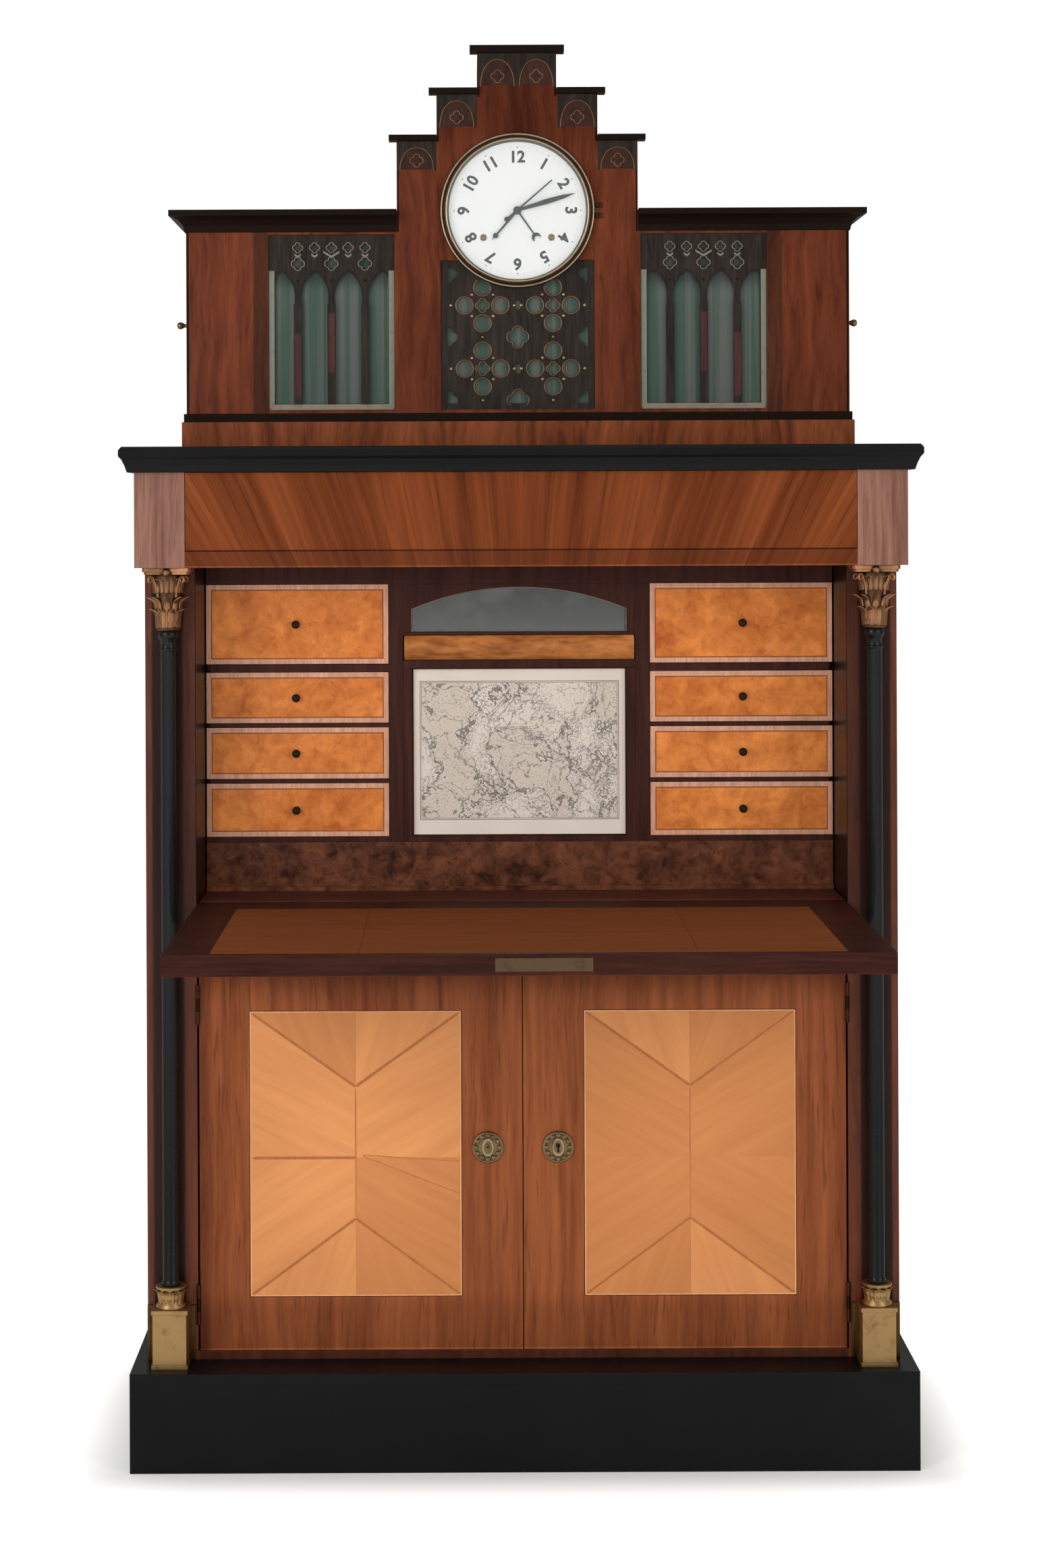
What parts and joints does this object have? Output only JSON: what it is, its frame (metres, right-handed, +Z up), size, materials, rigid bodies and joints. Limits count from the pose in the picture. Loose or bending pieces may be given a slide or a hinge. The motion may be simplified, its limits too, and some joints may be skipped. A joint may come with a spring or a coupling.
{
  "type": "fall-front writing cabinet with clock",
  "caption": "Fall-front writing cabinet with a nest of drawers, cupboard below, corner columns and a stepped clock case with tracery windows on top.",
  "frame": {"origin": "centre of the underside of the plinth", "axes": "+Z up, the front with the fall and the dial faces -Y, +X to the right seen from the front"},
  "size_m": [1.192, 0.955, 2.149],
  "materials": {
    "ebonised_wood": "polished black stain",
    "mahogany": "french polished veneer",
    "walnut_brown": "french polished veneer",
    "satinwood": "polished marquetry veneer",
    "amber_burl": "polished burl veneer",
    "dark_burl": "polished dark burl veneer",
    "dark_interior": "polished dark stain",
    "secondary_wood": "plain planed wood",
    "tracery_wood": "dark stain with gilt edges",
    "gilt_brass": "fire-gilt relief",
    "brass": "aged brass",
    "steel": "polished steel",
    "mirror_glass": "silvered",
    "print_paper": "aged paper",
    "green_silk": "stretched silk",
    "enamel": "white enamel",
    "clear_glass": "clear",
    "blued_steel": "blued",
    "bell_bronze": "turned"
  },
  "bodies": {
    "carcass": {"plinth": "ebonised_wood", "cupboard_floor": "walnut_brown", "left_side": "mahogany", "right_side": "mahogany", "back_panel": "secondary_wood", "middle_rail": "mahogany", "writing_deck": "walnut_brown", "cupboard_shelf": "secondary_wood", "frieze_ends": "mahogany", "frieze_rail": "mahogany", "cornice": "ebonised_wood", "columns": "ebonised_wood", "capitals": "gilt_brass", "column_bases": "gilt_brass", "pilaster_mounts": "gilt_brass", "carcass_fittings": "brass", "nest_case": "dark_interior", "nest_apron": "dark_burl", "arch_mirror": "mirror_glass", "centre_surround": "dark_interior", "print_panel": "print_paper", "clock_case": "mahogany", "case_front": "mahogany", "case_mouldings": "ebonised_wood", "wing_tracery": "tracery_wood", "centre_tracery": "tracery_wood", "silk_panels": "green_silk", "dial": "enamel", "movement": "brass", "bell": "bell_bronze"},
    "left_door": {"left_door": "walnut_brown", "left_door_panel": "satinwood", "left_door_fittings": "brass"},
    "right_door": {"right_door": "walnut_brown", "right_door_panel": "satinwood", "right_door_fittings": "brass"},
    "fall_front": {"fall_board": "dark_interior", "writing_surface": "walnut_brown", "fall_lock": "brass", "fall_irons": "steel"},
    "bezel": {"bezel": "gilt_brass", "dial_glass": "clear_glass"},
    "left_drawer_1": {"left_drawer_1": "amber_burl"},
    "left_drawer_2": {"left_drawer_2": "amber_burl"},
    "left_drawer_3": {"left_drawer_3": "amber_burl"},
    "left_drawer_4": {"left_drawer_4": "amber_burl"},
    "right_drawer_1": {"right_drawer_1": "amber_burl"},
    "right_drawer_2": {"right_drawer_2": "amber_burl"},
    "right_drawer_3": {"right_drawer_3": "amber_burl"},
    "right_drawer_4": {"right_drawer_4": "amber_burl"},
    "centre_drawer": {"centre_drawer": "amber_burl"},
    "frieze_drawer": {"frieze_drawer": "mahogany"},
    "hour_hand": {"hour_hand": "blued_steel"},
    "minute_hand": {"minute_hand": "blued_steel"},
    "date_hand": {"date_hand": "blued_steel"},
    "seconds_hand": {"seconds_hand": "blued_steel"},
    "pendulum": {"pendulum": "brass"},
    "left_side_door": {"left_side_door": "mahogany"},
    "right_side_door": {"right_side_door": "mahogany"}
  },
  "joints": [
    {"name": "fall_hinge", "type": "hinge", "parent": "carcass", "child": "fall_front", "pos_m": [0, -0.173, 0.8185], "axis": [1, 0, 0], "range_deg": [-90, 0]},
    {"name": "left_door_hinge", "type": "hinge", "parent": "carcass", "child": "left_door", "pos_m": [-0.489, -0.1908, 0.456], "axis": [0, 0, -1], "range_deg": [0, 90]},
    {"name": "right_door_hinge", "type": "hinge", "parent": "carcass", "child": "right_door", "pos_m": [0.489, -0.1908, 0.456], "axis": [0, 0, 1], "range_deg": [0, 90]},
    {"name": "left_drawer_1_slide", "type": "slide", "parent": "carcass", "child": "left_drawer_1", "axis": [0, -1, 0], "range_m": [0, 0.2]},
    {"name": "left_drawer_2_slide", "type": "slide", "parent": "carcass", "child": "left_drawer_2", "axis": [0, -1, 0], "range_m": [0, 0.2]},
    {"name": "left_drawer_3_slide", "type": "slide", "parent": "carcass", "child": "left_drawer_3", "axis": [0, -1, 0], "range_m": [0, 0.2]},
    {"name": "left_drawer_4_slide", "type": "slide", "parent": "carcass", "child": "left_drawer_4", "axis": [0, -1, 0], "range_m": [0, 0.2]},
    {"name": "right_drawer_1_slide", "type": "slide", "parent": "carcass", "child": "right_drawer_1", "axis": [0, -1, 0], "range_m": [0, 0.2]},
    {"name": "right_drawer_2_slide", "type": "slide", "parent": "carcass", "child": "right_drawer_2", "axis": [0, -1, 0], "range_m": [0, 0.2]},
    {"name": "right_drawer_3_slide", "type": "slide", "parent": "carcass", "child": "right_drawer_3", "axis": [0, -1, 0], "range_m": [0, 0.2]},
    {"name": "right_drawer_4_slide", "type": "slide", "parent": "carcass", "child": "right_drawer_4", "axis": [0, -1, 0], "range_m": [0, 0.2]},
    {"name": "centre_drawer_slide", "type": "slide", "parent": "carcass", "child": "centre_drawer", "axis": [0, -1, 0], "range_m": [0, 0.2]},
    {"name": "frieze_drawer_slide", "type": "slide", "parent": "carcass", "child": "frieze_drawer", "axis": [0, -1, 0], "range_m": [0, 0.3]},
    {"name": "bezel_hinge", "type": "hinge", "parent": "carcass", "child": "bezel", "pos_m": [0.124, -0.0405, 1.892], "axis": [0, 0, 1], "range_deg": [0, 100]},
    {"name": "left_side_door_hinge", "type": "hinge", "parent": "carcass", "child": "left_side_door", "pos_m": [-0.5196, 0.214, 1.72], "axis": [0, 0, -1], "range_deg": [0, 90]},
    {"name": "right_side_door_hinge", "type": "hinge", "parent": "carcass", "child": "right_side_door", "pos_m": [0.5196, 0.214, 1.72], "axis": [0, 0, 1], "range_deg": [0, 90]},
    {"name": "minute_hand_turn", "type": "hinge", "parent": "carcass", "child": "minute_hand", "pos_m": [0, -0.045, 1.892], "axis": [0, 1, 0], "continuous": true},
    {"name": "hour_hand_turn", "type": "hinge", "parent": "carcass", "child": "hour_hand", "pos_m": [0, -0.045, 1.892], "axis": [0, 1, 0], "continuous": true},
    {"name": "date_hand_turn", "type": "hinge", "parent": "carcass", "child": "date_hand", "pos_m": [0, -0.045, 1.892], "axis": [0, 1, 0], "continuous": true},
    {"name": "seconds_hand_turn", "type": "hinge", "parent": "carcass", "child": "seconds_hand", "pos_m": [0, -0.045, 1.892], "axis": [0, 1, 0], "continuous": true},
    {"name": "pendulum_swing", "type": "hinge", "parent": "carcass", "child": "pendulum", "pos_m": [0, 0.0655, 1.938], "axis": [0, 1, 0], "range_deg": [-4, 4]}
  ],
  "couplings": [
    {"joint": "hour_hand_turn", "follows": "minute_hand_turn", "ratio": 0.083333}
  ]
}
